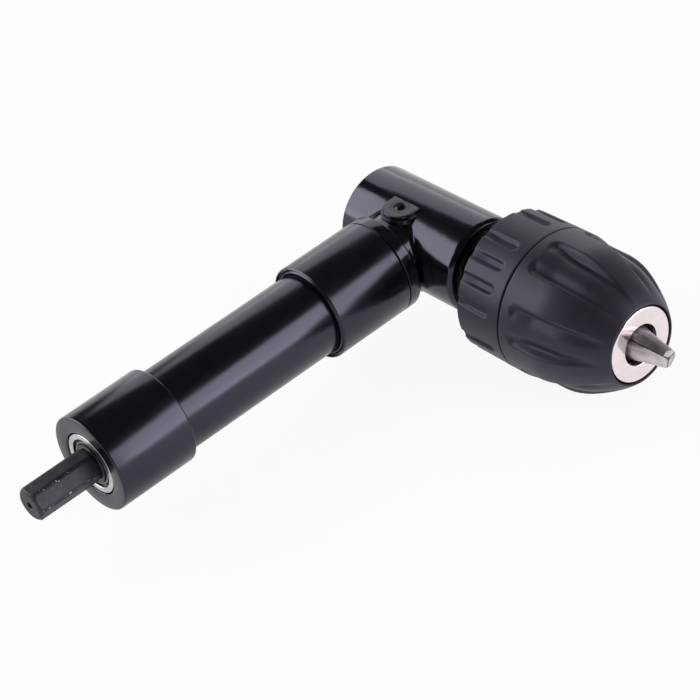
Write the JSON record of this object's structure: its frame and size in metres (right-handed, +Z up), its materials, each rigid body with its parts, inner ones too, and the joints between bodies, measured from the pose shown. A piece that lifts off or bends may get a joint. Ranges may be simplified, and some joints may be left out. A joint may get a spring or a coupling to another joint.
{
  "type": "right angle drill adapter",
  "caption": "Right angle drill adapter: a hexagonal shank in a straight barrel turns bevel gears in a round head, which drive a keyless jaw chuck at a right angle to the barrel.",
  "frame": {"origin": "centre of the base of the overall box", "axes": "+X from the head towards the jaws along the chuck's axis, -Y from the head towards the shank along the barrel's axis, +Z up through the lug"},
  "size_m": [0.0986, 0.143, 0.0366],
  "materials": {
    "gloss_painted_casting": "thick gloss black paint over a cast head",
    "gloss_painted_steel": "smooth gloss black paint over steel",
    "black_oxide_steel": "dark oxide, slightly oiled",
    "ground_bearing_steel": "ground bright steel",
    "pressed_shield_steel": "dull pressed sheet steel",
    "cut_gear_steel": "machined and hardened steel",
    "blued_spring_steel": "blued spring steel",
    "sintered_bronze": "sintered bronze, oil filled",
    "turned_chuck_steel": "turned steel",
    "hardened_jaw_steel": "ground hardened steel",
    "polished_nickel_plate": "polished nickel plate",
    "moulded_grip_nylon": "satin moulded nylon"
  },
  "bodies": {
    "gear_head": {"gear_head_housing": "gloss_painted_casting", "grease_screw": "black_oxide_steel", "barrel_sleeve": "gloss_painted_steel", "barrel_tube": "gloss_painted_steel", "rear_collar": "gloss_painted_steel", "bearing_spacer": "ground_bearing_steel", "rear_bearing_outer_race": "ground_bearing_steel", "rear_bearing_inner_shield": "pressed_shield_steel", "rear_bearing_outer_shield": "pressed_shield_steel", "front_bearing_outer_race": "ground_bearing_steel", "spindle_bearing_outer_race": "ground_bearing_steel", "spindle_bearing_inner_shield": "pressed_shield_steel", "spindle_bearing_outer_shield": "pressed_shield_steel", "retaining_ring": "blued_spring_steel", "spindle_bush": "sintered_bronze"},
    "input": {"input_shaft": "black_oxide_steel", "pinion_gear": "cut_gear_steel", "rear_bearing_inner_race": "ground_bearing_steel", "front_bearing_inner_race": "ground_bearing_steel"},
    "spindle": {"output_spindle": "black_oxide_steel", "output_gear": "cut_gear_steel", "spindle_bearing_inner_race": "ground_bearing_steel", "spindle_collar": "black_oxide_steel", "chuck_body": "turned_chuck_steel", "chuck_screw": "black_oxide_steel", "nose_ring": "polished_nickel_plate", "rear_grip_ring": "moulded_grip_nylon", "thrust_washer": "ground_bearing_steel"},
    "grip": {"grip_sleeve": "moulded_grip_nylon", "jaw_nut": "cut_gear_steel", "nut_shell": "blued_spring_steel"},
    "thrust_cage": {"thrust_ball_cage": "ground_bearing_steel"},
    "spindle_bearing_cage": {"spindle_bearing_ball_cage": "ground_bearing_steel"},
    "front_bearing_cage": {"front_bearing_ball_cage": "ground_bearing_steel"},
    "rear_bearing_cage": {"rear_bearing_ball_cage": "ground_bearing_steel"},
    "jaw_1": {"jaw_1": "hardened_jaw_steel"},
    "jaw_2": {"jaw_2": "hardened_jaw_steel"},
    "jaw_3": {"jaw_3": "hardened_jaw_steel"}
  },
  "joints": [
    {"name": "spindle_spin", "type": "hinge", "parent": "gear_head", "child": "spindle", "pos_m": [-0.0327, 0.05323, 0.01829], "axis": [1, 0, 0], "continuous": true},
    {"name": "input_spin", "type": "hinge", "parent": "gear_head", "child": "input", "pos_m": [-0.0327, 0.05323, 0.01829], "axis": [0, 1, 0], "continuous": true},
    {"name": "spindle_bearing_cage_spin", "type": "hinge", "parent": "gear_head", "child": "spindle_bearing_cage", "pos_m": [-0.0327, 0.05323, 0.01829], "axis": [1, 0, 0], "continuous": true},
    {"name": "front_bearing_cage_spin", "type": "hinge", "parent": "gear_head", "child": "front_bearing_cage", "pos_m": [-0.0327, 0.05323, 0.01829], "axis": [0, 1, 0], "continuous": true},
    {"name": "rear_bearing_cage_spin", "type": "hinge", "parent": "gear_head", "child": "rear_bearing_cage", "pos_m": [-0.0327, 0.05323, 0.01829], "axis": [0, 1, 0], "continuous": true},
    {"name": "chuck_sleeve_turn", "type": "hinge", "parent": "spindle", "child": "grip", "pos_m": [-0.0327, 0.05323, 0.01829], "axis": [1, 0, 0], "range_deg": [0, 2464]},
    {"name": "thrust_cage_turn", "type": "hinge", "parent": "spindle", "child": "thrust_cage", "pos_m": [-0.0327, 0.05323, 0.01829], "axis": [1, 0, 0], "range_deg": [0, 1235]},
    {"name": "jaw_1_slide", "type": "slide", "parent": "spindle", "child": "jaw_1", "axis": [-0.9636, 0.087, 0.2527], "range_m": [0, 0.0172]},
    {"name": "jaw_2_slide", "type": "slide", "parent": "spindle", "child": "jaw_2", "axis": [-0.9636, -0.2623, -0.051], "range_m": [0, 0.0172]},
    {"name": "jaw_3_slide", "type": "slide", "parent": "spindle", "child": "jaw_3", "axis": [-0.9636, 0.1753, -0.2017], "range_m": [0, 0.0172]}
  ],
  "couplings": [
    {"joint": "input_spin", "follows": "spindle_spin", "ratio": 1},
    {"joint": "spindle_bearing_cage_spin", "follows": "spindle_spin", "ratio": 0.40625},
    {"joint": "front_bearing_cage_spin", "follows": "spindle_spin", "ratio": 0.3963},
    {"joint": "rear_bearing_cage_spin", "follows": "spindle_spin", "ratio": 0.42857},
    {"joint": "chuck_sleeve_turn", "follows": "jaw_1_slide", "rad_per_m": 2500},
    {"joint": "thrust_cage_turn", "follows": "jaw_1_slide", "rad_per_m": 1250},
    {"joint": "jaw_2_slide", "follows": "jaw_1_slide", "ratio": 1},
    {"joint": "jaw_3_slide", "follows": "jaw_1_slide", "ratio": 1}
  ]
}
